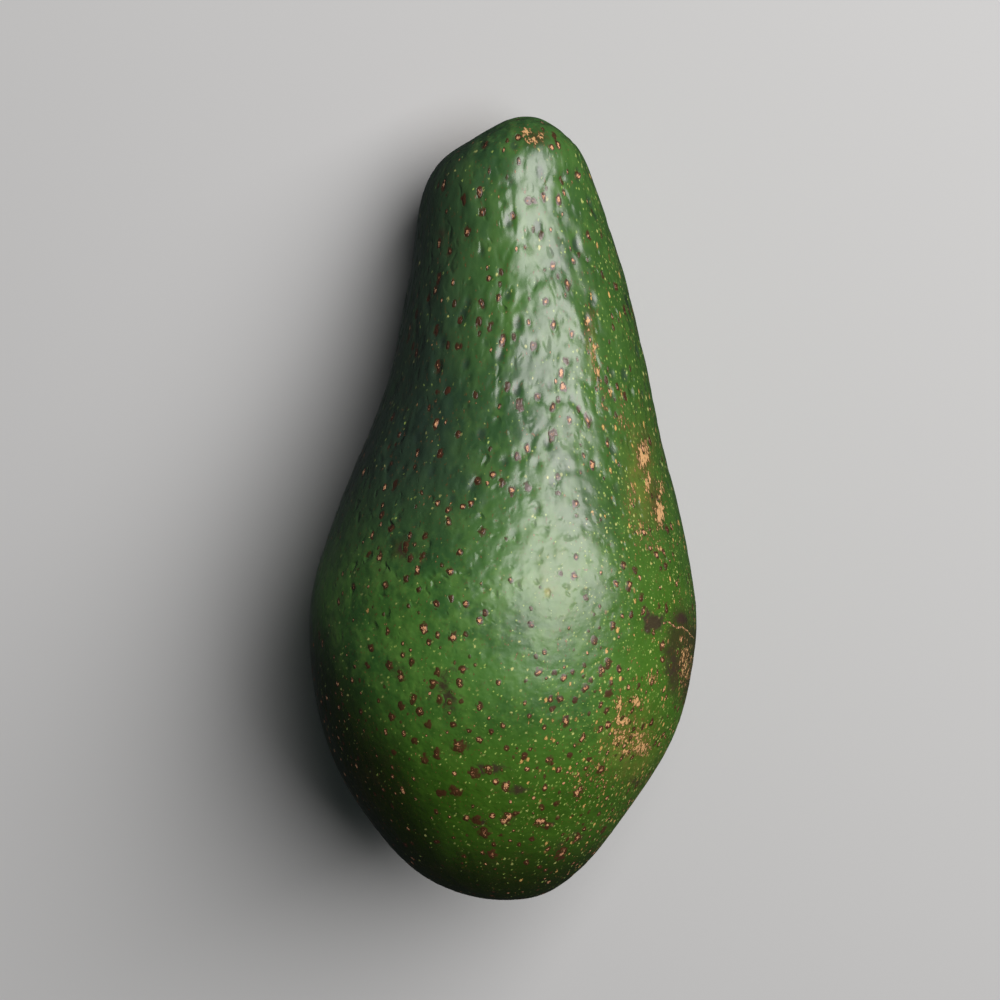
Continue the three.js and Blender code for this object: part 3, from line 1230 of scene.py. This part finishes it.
@dataclass(frozen=True)
class SkinFinish:
    """Waxy green skin with pale lenticels, tan russet, dark patches, rings of cork and painted shade.

    Places are the first two numbers of the pattern space: across the fruit, and along it from 10
    at the blossom end to 97 at the stem end. A span goes from where a zone starts to where it is
    full, or gives the belly's value and then the neck's. A fade has its strength besides. A noise
    has a size in millimetres, a detail and a roughness.

    Attributes:
        deep: The deepest green of the mottling.
        mid: The green that most of the skin has.
        bright: The brightest green.
        sunny: The yellower green of the right side and the lower end.
        painted_shade: The near black of the painted shade on the lower left, also darkening the blossom
            end.
        cool_and_painted_shade: The bluish green of the neck, also the painted shade on the neck's left and
            in the pits.
        fine_dots: The small pale dots.
        large_dots: The large pale dots.
        tan_dots: The tan dots.
        tan: The russet.
        tan_shade: The edge of the russet and of the tan dots.
        brown: The olive-brown tint.
        yellow: The yellow tint.
        bruise: The purple-brown patches.
        ring: The dark ring of a corky speck.
        cork_pink: The middle of a darker speck.
        cork_pale: The middle of a paler speck.
        mottles: The broad, the middle and the fine mottling.
        wander: How the dots leave their round shape.
        wash_edge: How ragged the soft tints are.
        crumbs: The crumbs of the russet.
        bruise_edge: How ragged the bruises are.
        ring_edge: How ragged the corky specks are.
        core_edge: How ragged their middles are.
        bend: How the dents leave their round shape.
        pebbles: The pebbles of the relief.
        ripple: Its ripples.
        grit: Its finest grit.
        worn: Where the wax is worn.
        warm_across: The yellower right side.
        warm_along: The yellower lower end.
        painted_shade_axis: The direction across the painted shade of the lower left.
        painted_shade_span: That painted shade, along that direction.
        low_along: Darker towards the blossom end.
        end_along: Darker still at the tip of the blossom end.
        left_shade_across: The painted shade on the left of the neck, across.
        left_shade_along: The same along.
        neck_along: The cooler neck.
        dots_right: Where the right side has more dots, across.
        dots_low_along: Where the lower end has more, along.
        dots_low_across: The same across.
        flank_across: Where the flank has most, across.
        flank_along: The same along.
        few_along: Where the upper half has fewer.
        end_dots_along: Where those of the blossom end come in.
        tan_across: Where the lower end has tan ones, across.
        relief_along: Where the neck's relief takes over from the belly's.
        gloss_along: Where the neck's gloss takes over from the belly's.
        dent_sizes: Spacing of the wide and the small dents.
        dent_edge: Where a dent starts, as a share of its spacing.
        pebble_height: Of the pebbles on belly and neck, as all heights in millimetres.
        ripple_height: Of the ripples.
        wide_dent_height: Of the wide dents.
        small_dent_height: Of the small dents.
        moat_height: Of the moat round a speck.
        cork_height: Of the cork, at its least and at its most.
        grit_height: Of the finest grit.
        roughness: Of the wax on belly and neck.
        wear: How much roughness the worn places add.
        dry_roughness: Of cork and russet.
        specular: How strongly the skin shines on belly and neck.
        coat_roughness: Of the wax's own gloss on belly and neck.
        coat_weight: How strong that gloss is on belly and neck.
        ior: Of the wax.
        mid_fade: Where the broad mottling turns to the middle green.
        bright_fade: Where the middle mottling turns to the brightest.
        fine_fade: Where the fine mottling does.
        pit_shade_fade: Where a pit gets painted shade.
        warm_strength: How strong the yellower green is.
        painted_shade_strength: How strong the painted shade is.
        left_shade_strength: How strong the painted shade on the left of the neck is.
        dot_edge: Where a dot is full, as a share of its radius.
        dot_strength: How strong the faintest and the strongest dot are.
        wander_sway: How far off its middle the noise moves a dot the most, and by how many millimetres.
        bend_sway: The same for a dent.
        crowd: The share of the dots that is there on the lower half.
        fewer: What the upper half adds to it.
        more_dots: What the right side, the lower end and the flank add to it.
        painted_shade_crowd: What the painted shade of the lower left leaves of it.
        end_crowd: What the tip of the blossom end leaves of it.
        tan_crowd: The share of the tan dots anywhere, and what the lower end and the flank add.
        shrink: The scale of the space along the fruit for the tan dots and for the russet.
        tan_rim: The edge of a tan dot.
        tan_core: Its middle.
        wash_rag: How far the ragged edge moves the brown tint, and what is taken off for its middle.
        yellow_rag: The share of that for the yellow tint.
        brown_fade: Where the brown tint shows.
        yellow_fade: Where the yellow tint shows.
        russet_reach: How much a russet patch helps the crumbs to show.
        russet_rim: The edge of a crumb.
        russet_core: Its middle.
        bruise_reach: How much a dark patch helps the bruise to show.
        bruise_fade: Where a bruise shows.
        speck_rag: How far the ragged edge moves a corky speck, and its middle.
        speck_edge: Where a speck's dome starts.
        ring_fade: Where its dark ring shows.
        core_start: Where the middle starts on the darkest speck and on the palest.
        core_soft: How soft its edge is.
        core_tone: From which tone on a speck has a pale middle.
        pale_tone: From the pinker to the paler middle.
        moat_outer: The outer side of the moat.
        moat_inner: Its inner side.
        grit_span: Where the grit leaves the cork lowest and where highest.
    """

    deep: Colour = (0.03, 0.108, 0.022)
    mid: Colour = (0.065, 0.192, 0.029)
    bright: Colour = (0.105, 0.25, 0.042)
    sunny: Colour = (0.046, 0.132, 0.001)
    painted_shade: Colour = (0.009, 0.013, 0.001)
    cool_and_painted_shade: Colour = (0.023, 0.042, 0.033)
    fine_dots: Dots = Dots(0.62, 0.1, 0.23, (0.4, 0.55, 0.12))
    large_dots: Dots = Dots(1.15, 0.14, 0.33, (0.6, 0.62, 0.2))
    tan_dots: Dots = Dots(0.95, 0.14, 0.42, (0.64, 0.4, 0.12))
    tan: Colour = (0.66, 0.38, 0.15)
    tan_shade: Colour = (0.13, 0.055, 0.015)
    brown: Colour = (0.04, 0.036, 0.01)
    yellow: Colour = (0.3, 0.3, 0.04)
    bruise: Colour = (0.05, 0.027, 0.019)
    ring: Colour = (0.068, 0.02, 0.009)
    cork_pink: Colour = (0.34, 0.12, 0.058)
    cork_pale: Colour = (0.76, 0.39, 0.19)
    mottles: tuple[Noise, ...] = ((15.0, 2.0, 0.55), (3.6, 3.0, 0.6), (0.9, 1.0, 0.6))
    wander: Noise = (0.35, 1.0, 0.6)
    wash_edge: Noise = (2.2, 2.0, 0.6)
    crumbs: Noise = (0.42, 2.0, 0.6)
    bruise_edge: Noise = (1.3, 3.0, 0.65)
    ring_edge: Noise = (0.8, 1.0, 0.5)
    core_edge: Noise = (0.24, 1.0, 0.6)
    bend: Noise = (1.5, 0.0, 0.5)
    pebbles: Noise = (2.2, 1.0, 0.4)
    ripple: Noise = (1.05, 1.0, 0.4)
    grit: Noise = (0.32, 1.0, 0.6)
    worn: Noise = (5.0, 1.0, 0.6)
    warm_across: Span = (2.0, 26.0)
    warm_along: Span = (54.0, 26.0)
    painted_shade_axis: Span = (-0.855, -0.519)
    painted_shade_span: Span = (-9.0, 2.0)
    low_along: Fade = (46.0, 16.0, 0.4)
    end_along: Span = (28.0, 13.0)
    left_shade_across: Span = (3.0, -14.0)
    left_shade_along: Span = (60.0, 80.0)
    neck_along: Fade = (58.0, 76.0, 0.2)
    dots_right: Span = (3.0, 20.0)
    dots_low_along: Span = (58.0, 30.0)
    dots_low_across: Span = (-14.0, 8.0)
    flank_across: Span = (11.0, 21.0)
    flank_along: Span = (18.0, 34.0)
    few_along: Span = (46.0, 66.0)
    end_dots_along: Span = (11.0, 26.0)
    tan_across: Span = (-1.0, 14.0)
    relief_along: Span = (44.0, 68.0)
    gloss_along: Span = (30.0, 74.0)
    dent_sizes: Span = (2.6, 1.5)
    dent_edge: float = 0.38
    pebble_height: Span = (0.17, 0.34)
    ripple_height: Span = (0.115, 0.07)
    wide_dent_height: Span = (-0.05, -0.42)
    small_dent_height: Span = (-0.04, -0.11)
    moat_height: Span = (-0.02, -0.07)
    cork_height: Span = (0.02, 0.08)
    grit_height: float = 0.008
    roughness: Span = (0.34, 0.2)
    wear: float = 0.2
    dry_roughness: float = 0.75
    specular: Span = (0.24, 0.5)
    coat_roughness: Span = (0.42, 0.31)
    coat_weight: Span = (0.3, 1.0)
    ior: float = 1.5
    mid_fade: Fade = (0.34, 0.62, 1.0)
    bright_fade: Fade = (0.42, 0.7, 0.7)
    fine_fade: Fade = (0.5, 0.8, 0.3)
    pit_shade_fade: Fade = (0.1, 0.9, 0.6)
    warm_strength: float = 0.72
    painted_shade_strength: float = 0.88
    left_shade_strength: float = 0.85
    dot_edge: float = 0.35
    dot_strength: Span = (0.35, 0.95)
    wander_sway: Span = (0.3, 0.12)
    bend_sway: Span = (0.25, 0.28)
    crowd: float = 0.32
    fewer: float = -0.2
    more_dots: tuple[float, float, float] = (0.5, 0.5, 0.3)
    painted_shade_crowd: float = 0.4
    end_crowd: float = 0.3
    tan_crowd: tuple[float, float, float] = (0.006, 0.85, 0.45)
    shrink: Span = (0.6, 0.55)
    tan_rim: Fade = (0.0, 0.45, 0.6)
    tan_core: Span = (0.3, 0.75)
    wash_rag: Span = (0.9, -0.45)
    yellow_rag: float = 0.5
    brown_fade: Fade = (0.08, 0.7, 0.88)
    yellow_fade: Fade = (0.1, 1.1, 0.85)
    russet_reach: float = 0.3
    russet_rim: Fade = (0.62, 0.74, 0.8)
    russet_core: Span = (0.72, 0.8)
    bruise_reach: float = 0.55
    bruise_fade: Fade = (0.62, 1.08, 0.9)
    speck_rag: Span = (1.5, 1.1)
    speck_edge: Span = (0.0, 0.12)
    ring_fade: Span = (0.12, 0.52)
    core_start: Span = (1.04, 0.62)
    core_soft: float = 0.22
    core_tone: Span = (0.03, 0.3)
    pale_tone: Span = (0.2, 1.0)
    moat_outer: Span = (0.05, 0.3)
    moat_inner: Span = (0.75, 0.45)
    grit_span: Span = (0.3, 0.7)

    def painted_shade_side(self, skin: SkinGraph) -> Socket:
        """How much a place belongs to the painted shade on the lower left of the belly."""
        slant = skin.scaled_on(skin.across, self.painted_shade_axis[0], skin.times(skin.along, self.painted_shade_axis[1]))
        return skin.band(slant, *self.painted_shade_span)

    def green(self, skin: SkinGraph) -> None:
        """Mottles the green under all else, with painted shade at the lower left, the neck's left and the
        pits.

        Args:
            skin: The material.
        """
        across, along = skin.across, skin.along
        broad, middle, fine = (skin.noise(skin.grain, *mottle) for mottle in self.mottles)
        warm = skin.greater(skin.band(across, *self.warm_across), skin.band(along, *self.warm_along))
        # Painted shade on the lower left of the belly, and darker towards the blossom end.
        low = skin.greater(self.painted_shade_side(skin), skin.band(along, *self.low_along))
        low = skin.greater(low, skin.band(along, *self.end_along))
        # Painted shade on the left of the neck.
        left = skin.times(skin.band(across, *self.left_shade_across), skin.band(along, *self.left_shade_along))
        skin.colour = self.deep
        for share, colour in (
            (skin.band(broad, *self.mid_fade), self.mid),
            (skin.band(middle, *self.bright_fade), self.bright),
            (skin.band(fine, *self.fine_fade), self.bright),
            (skin.times(warm, self.warm_strength), self.sunny),
            # Painted shade on the lower left, and the darker blossom end.
            (skin.times(low, self.painted_shade_strength), self.painted_shade),
            # Painted shade on the left of the neck.
            (skin.times(left, self.left_shade_strength), self.cool_and_painted_shade),
            (skin.band(along, *self.neck_along), self.cool_and_painted_shade),
            # Painted shade in the pits.
            (skin.band(skin.attribute("pit"), *self.pit_shade_fade), self.cool_and_painted_shade),
        ):
            skin.tint(share, colour)

    def dots(self, skin: SkinGraph, place: Socket, kind: Dots, crowd: Socket) -> Socket:
        """Scatters one size of dots.

        Args:
            skin: The material.
            place: The pattern space.
            kind: The size of the dots.
            crowd: The share of them that is there.

        Returns:
            Their strength.
        """
        cells = skin.cells(place, kind.spacing)
        chance, size, glow = skin.split(cells.outputs["Color"])
        radius = skin.between(size, kind.small / kind.spacing, kind.large / kind.spacing)
        dot = skin.band(cells.outputs["Distance"], radius, skin.times(radius, self.dot_edge))
        kept = skin.math("LESS_THAN", chance, crowd)
        return skin.times(dot, skin.times(kept, skin.between(glow, *self.dot_strength)))

    def lenticels(self, skin: SkinGraph) -> None:
        """Sets pale dots all over the green, and tan ones where the sun reached most.

        Args:
            skin: The material.
        """
        across, along = skin.across, skin.along
        place = skin.swayed(self.wander, self.wander_sway)
        right = skin.band(across, *self.dots_right)
        low = skin.times(
            skin.band(along, *self.dots_low_along), skin.band(across, *self.dots_low_across)
        )
        flank = skin.times(skin.band(across, *self.flank_across), skin.band(along, *self.flank_along))
        end = skin.band(along, *self.end_dots_along, 1.0, self.end_crowd)
        crowd = skin.scaled_on(skin.band(along, *self.few_along), self.fewer, self.crowd)
        for zone, more in zip((right, low, flank), self.more_dots, strict=True):
            crowd = skin.scaled_on(zone, more, crowd)
        # Fewer dots in the painted shade of the lower left, so that it stays dark.
        crowd = skin.times(crowd, skin.between(self.painted_shade_side(skin), 1.0, self.painted_shade_crowd))
        crowd = skin.times(crowd, end)
        anywhere, on_low, on_flank = self.tan_crowd
        sunny = skin.scaled_on(skin.times(low, skin.band(across, *self.tan_across)), on_low, anywhere)
        sunny = skin.times(skin.scaled_on(flank, on_flank, sunny), end)
        for kind in (self.fine_dots, self.large_dots):
            skin.tint(self.dots(skin, place, kind, crowd), kind.colour)
        tan = self.dots(skin, skin.drawn(place, self.shrink[0]), self.tan_dots, sunny)
        skin.tint(skin.band(tan, *self.tan_rim), self.tan_shade)
        skin.tint(skin.band(tan, *self.tan_core), self.tan_dots.colour)

    def washes(self, skin: SkinGraph) -> None:
        """Lays soft olive-brown and yellow tints over the colour.

        Args:
            skin: The material.
        """
        ragged = skin.scaled_on(skin.noise(skin.grain, *self.wash_edge), *self.wash_rag)
        brown = skin.math("ADD", skin.attribute("brown"), ragged)
        skin.tint(skin.band(brown, *self.brown_fade), self.brown)
        # The yellow tint in the middle of the belly is partly a painted highlight.
        yellow = skin.scaled_on(ragged, self.yellow_rag, skin.attribute("yellow"))
        skin.tint(skin.band(yellow, *self.yellow_fade), self.yellow)

    def russet(self, skin: SkinGraph) -> Socket:
        """Lets tan cork break through in crumbs, where the skin's russet patches are.

        Args:
            skin: The material.

        Returns:
            The mask of the crumbs.
        """
        crumbs = skin.noise(skin.drawn(skin.grain, self.shrink[1]), *self.crumbs)
        reach = skin.scaled_on(skin.attribute("russet"), self.russet_reach, crumbs)
        mask = skin.band(reach, *self.russet_core)
        skin.tint(skin.band(reach, *self.russet_rim), self.tan_shade)
        skin.tint(mask, self.tan)
        return mask

    def bruises(self, skin: SkinGraph) -> None:
        """Lays purple-brown patches with ragged edges over the colour.

        Args:
            skin: The material.
        """
        ragged = skin.noise(skin.grain, *self.bruise_edge)
        # Two dark patches on the left of the neck are painted shade of a dent rather than bruises.
        reach = skin.scaled_on(skin.attribute("dark"), self.bruise_reach, ragged)
        skin.tint(skin.band(reach, *self.bruise_fade), self.bruise)

    def rings(self, skin: SkinGraph) -> tuple[Socket, Socket]:
        """Colours the dark ring and the paler middle of each corky speck.

        Args:
            skin: The material.

        Returns:
            The mask of the pale middles, and how deep the moat round each speck is.
        """
        coarse, sharp = skin.ragged(self.ring_edge), skin.ragged(self.core_edge)
        speck, tone = skin.attribute("speck"), skin.attribute("tone")
        body = skin.scaled_on(coarse, self.speck_rag[0], speck)
        present = skin.band(speck, *self.speck_edge)
        ring = skin.times(skin.band(body, *self.ring_fade), skin.attribute("ring"))
        skin.tint(skin.times(ring, present), self.ring)
        start = skin.between(tone, *self.core_start)
        core = skin.scaled_on(sharp, self.speck_rag[1], body)
        core = skin.band(core, start, skin.math("ADD", start, self.core_soft))
        core = skin.times(core, skin.times(present, skin.band(tone, *self.core_tone)))
        paleness = skin.band(skin.math("ADD", tone, sharp), *self.pale_tone)
        skin.tint(core, skin.mix(paleness, self.cork_pink, self.cork_pale))
        moat = skin.times(skin.band(body, *self.moat_outer), skin.band(body, *self.moat_inner))
        return core, skin.times(moat, present)

    def dent(self, skin: SkinGraph, place: Socket, spacing: float) -> Socket:
        """Presses round dents of one spacing, some deep and some hardly there.

        Args:
            skin: The material.
            place: The pattern space.
            spacing: In millimetres.

        Returns:
            Their depth, from 0 to 1.
        """
        cells = skin.cells(place, spacing)
        depth, _, _ = skin.split(cells.outputs["Color"])
        return skin.times(skin.band(cells.outputs["Distance"], self.dent_edge, 0.0), depth)

    def height(self, skin: SkinGraph, cork: Socket, moat: Socket) -> Socket:
        """Gives the skin its fine relief: dents and pebbles along the neck, ripples all over.

        Args:
            skin: The material.
            cork: The mask of the cork.
            moat: How deep the moat round each speck is.

        Returns:
            The height in millimetres.
        """
        neck = skin.band(skin.along, *self.relief_along)
        place = skin.swayed(self.bend, self.bend_sway)
        wide_dent, small_dent = (self.dent(skin, place, size) for size in self.dent_sizes)
        pebbles = skin.noise(skin.grain, *self.pebbles)
        ripple = skin.noise(skin.grain, *self.ripple)
        grit = skin.noise(skin.grain, *self.grit)
        height = skin.times(pebbles, skin.between(neck, *self.pebble_height))
        for part, heights in (
            (ripple, self.ripple_height),
            (wide_dent, self.wide_dent_height),
            (small_dent, self.small_dent_height),
        ):
            height = skin.scaled_on(part, skin.between(neck, *heights), height)
        height = skin.scaled_on(grit, self.grit_height, height)
        least, most = self.cork_height
        height = skin.scaled_on(cork, skin.band(grit, *self.grit_span, most, least), height)
        return skin.scaled_on(moat, skin.between(neck, *self.moat_height), height)

    def material(self) -> bpy.types.Material:
        """The whole finish."""
        skin = SkinGraph()
        self.green(skin)
        self.lenticels(skin)
        self.washes(skin)
        russet = self.russet(skin)
        self.bruises(skin)
        cork, moat = self.rings(skin)
        dry = skin.greater(russet, cork)

        def gloss(values: Span) -> Socket:
            """Goes from the belly's value to the neck's."""
            return skin.band(skin.along, *self.gloss_along, values[1], values[0])

        waxy = skin.scaled_on(skin.noise(skin.grain, *self.worn), self.wear, gloss(self.roughness))
        return skin.surface(
            Base_Color=skin.colour,
            Roughness=skin.between(dry, waxy, self.dry_roughness),
            Normal=skin.bump(self.height(skin, dry, moat), MM, 1.0),
            IOR=self.ior,
            Specular_IOR_Level=gloss(self.specular),
            Coat_Roughness=gloss(self.coat_roughness),
            Coat_Weight=gloss(self.coat_weight),
        )


@dataclass
class StemStub:
    """The dry stub of the stem: a knob with a cracked, fibrous end.

    Attributes:
        node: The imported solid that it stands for.
        outward: The direction that its broken end faces.
        levels: Subdivision levels.
        sink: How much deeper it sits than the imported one, in millimetres.
        crack: Spacing and depth of the cracks.
        crack_edge: Where a crack starts and where it is deepest.
        fibre: Size and height of the fibres.
    """

    node: bpy.types.Object
    outward: Vector
    levels: int = 3
    sink: float = 0.6
    crack: Span = (0.9, 0.16)
    crack_edge: Span = (0.22, 0.02)
    fibre: Span = (0.5, 0.1)

    def build(self) -> bpy.types.Object:
        """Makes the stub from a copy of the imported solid."""
        mesh = subdivided("stub", quads(self.node, math.pi / 2), self.levels)
        places = []
        for vert in mesh.vertices:
            nearest, second = noise.voronoi(vert.co / MM / self.crack[0])[0][:2]
            groove = ease(second - nearest, *self.crack_edge)
            rise = self.fibre[1] * noise.noise(vert.co / MM / self.fibre[0]) - self.crack[1] * groove
            places.append(vert.co + (vert.normal * rise - self.outward * self.sink) * MM)
        reshape(mesh, places)
        return in_scene("stem_stub", mesh)


@dataclass(frozen=True)
class StemFinish:
    """Dry grey-brown wood, with sizes in metres.

    Attributes:
        pale: The paler fibres.
        dark: The darker fibres.
        grey: The broader spots.
        roughness: Of all of it.
        fibre: The noise of the fibres.
        crumb: The noise of the broader spots.
        fibre_fade: Where it goes from the darker fibres to the paler.
        grey_fade: Where the broader spots show.
        relief: How high the fibres stand, and how much of it shows.
    """

    pale: Colour = (0.26, 0.17, 0.09)
    dark: Colour = (0.05, 0.03, 0.017)
    grey: Colour = (0.12, 0.1, 0.06)
    roughness: float = 0.9
    fibre: Noise = (0.0007, 5.0, 0.7)
    crumb: Noise = (0.0025, 3.0, 0.6)
    fibre_fade: Span = (0.35, 0.65)
    grey_fade: Fade = (0.4, 0.7, 0.5)
    relief: Span = (0.0002, 0.8)

    def material(self) -> bpy.types.Material:
        """The whole finish."""
        graph = Graph("dry_stem")
        place = graph.add("TexCoord").outputs["Object"]
        fibres = graph.noise(place, *self.fibre)
        crumbs = graph.noise(place, *self.crumb)
        colour = graph.mix(graph.band(fibres, *self.fibre_fade), self.dark, self.pale)
        colour = graph.mix(graph.band(crumbs, *self.grey_fade), colour, self.grey)
        bent = graph.bump(fibres, *self.relief)
        return graph.surface(Base_Color=colour, Roughness=self.roughness, Normal=bent)


@dataclass
class Studio:
    """The pale floor, the soft light and the camera.

    Attributes:
        lie: How the fruit lies.
        key_row: The row of the picture that the large light is aimed at.
        key_turn_deg: How far right of the camera the large light stands, seen from the fruit.
        key_lift_deg: How far above the camera it stands in the picture.
        key_distance: From the fruit, in metres.
        key_size: Its width and height.
        key_power: In watts.
        key_colour: Its tint.
        fill_strength: Of the dim even light from all round.
        fill_colour: Its tint.
        floor_half: Half the width of the floor.
        floor_colour: The floor's colour.
        floor_roughness: Its roughness.
        clip: The nearest and the farthest that the camera sees, in metres.
    """

    lie: Lie
    key_row: float = 560.0
    key_turn_deg: float = 30.5
    key_lift_deg: float = 16.0
    key_distance: float = 0.9
    key_size: Span = (0.75, 0.9)
    key_power: float = 11.9
    key_colour: Colour = (1.0, 0.95, 0.95)
    fill_strength: float = 0.032
    fill_colour: Colour = (0.74, 0.86, 0.86)
    floor_half: float = 1.5
    floor_colour: Colour = (0.6, 0.62, 0.615)
    floor_roughness: float = 0.9
    clip: Span = (0.01, 20.0)

    def floor(self) -> None:
        """A wide pale floor at the level that the fruit lies on. It isn't mirrored in the wax."""
        bm = bmesh.new()
        bmesh.ops.create_grid(bm, x_segments=1, y_segments=1, size=self.floor_half)
        floor = in_scene("floor", finished("floor", bm))
        graph = Graph("pale_floor")
        floor.data.materials.append(
            graph.surface(Base_Color=self.floor_colour, Roughness=self.floor_roughness)
        )
        floor.visible_glossy = False

    def light(self) -> None:
        """One large soft light, up and to the right of the camera, and a dim even fill."""
        lie = self.lie
        centre = lie.at_pixel(lie.picture.middle_column, self.key_row)
        turn, lift = (math.tan(math.radians(angle)) for angle in (self.key_turn_deg, self.key_lift_deg))
        aim = (lie.out + lie.across * turn + lie.along * lift).normalized()
        lamp = bpy.data.lights.new("key", "AREA")
        lamp.shape = "RECTANGLE"
        lamp.size, lamp.size_y = self.key_size
        lamp.energy = self.key_power
        lamp.color = self.key_colour
        turned = aim.to_track_quat("Z", "Y").to_matrix().to_4x4()
        in_scene("key", lamp).matrix_world = Matrix.Translation(centre + aim * self.key_distance) @ turned
        world = bpy.data.worlds.new("studio")
        world.use_nodes = True
        background = world.node_tree.nodes["Background"]
        background.inputs["Color"].default_value = (*self.fill_colour, 1.0)
        background.inputs["Strength"].default_value = self.fill_strength
        bpy.context.scene.world = world

    def camera(self) -> None:
        """The camera, square to the fruit's axis, with the neck at the top of the picture."""
        data = bpy.data.cameras.new("picture")
        data.lens = self.lie.picture.lens_mm
        data.sensor_width = self.lie.picture.sensor_mm
        data.clip_start, data.clip_end = self.clip
        camera = in_scene("picture", data)
        turned = Matrix((self.lie.across, self.lie.along, self.lie.out)).transposed()
        camera.matrix_world = Matrix.Translation(self.lie.eye()) @ turned.to_4x4()
        bpy.context.scene.camera = camera

    def build(self) -> None:
        """Sets everything up."""
        self.floor()
        self.light()
        self.camera()
        view = bpy.context.scene.view_settings
        view.view_transform = "Standard"
        view.look = "None"


def main() -> None:
    """Builds every piece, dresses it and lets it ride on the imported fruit."""
    logging.basicConfig(level=logging.INFO, format="%(message)s")
    fruit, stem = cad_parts["fruit"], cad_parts["stem_button"]
    lie = Lie(fruit, Picture())
    grain = Grain(fruit_length=lie.length / MM)
    fruit_skin = FruitSkin(lie, grain, fruit, stem)
    skin, specks = fruit_skin.build(SpeckChooser(lie, grain, fruit_skin.stem_place()))
    corky = CorkySpecks(lie, grain).build(skin, specks)
    stub = StemStub(stem, fruit_skin.stem_outward(skin)).build()
    finish = SkinFinish().material()
    skin.data.materials.append(finish)
    corky.data.materials.append(finish)
    stub.data.materials.clear()
    stub.data.materials.append(StemFinish().material())
    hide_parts("fruit")
    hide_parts("stem_button")
    for piece, slot in ((skin, Slot.SKIN), (corky, Slot.SKIN), (stub, Slot.STEM)):
        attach(piece, "root")
        piece.data.calc_loop_triangles()
        log.info("%s: %d triangles", piece.name, len(piece.data.loop_triangles))
    log.info("%d specks", len(specks))
    Studio(lie).build()


if __name__ == "__main__":
    main()
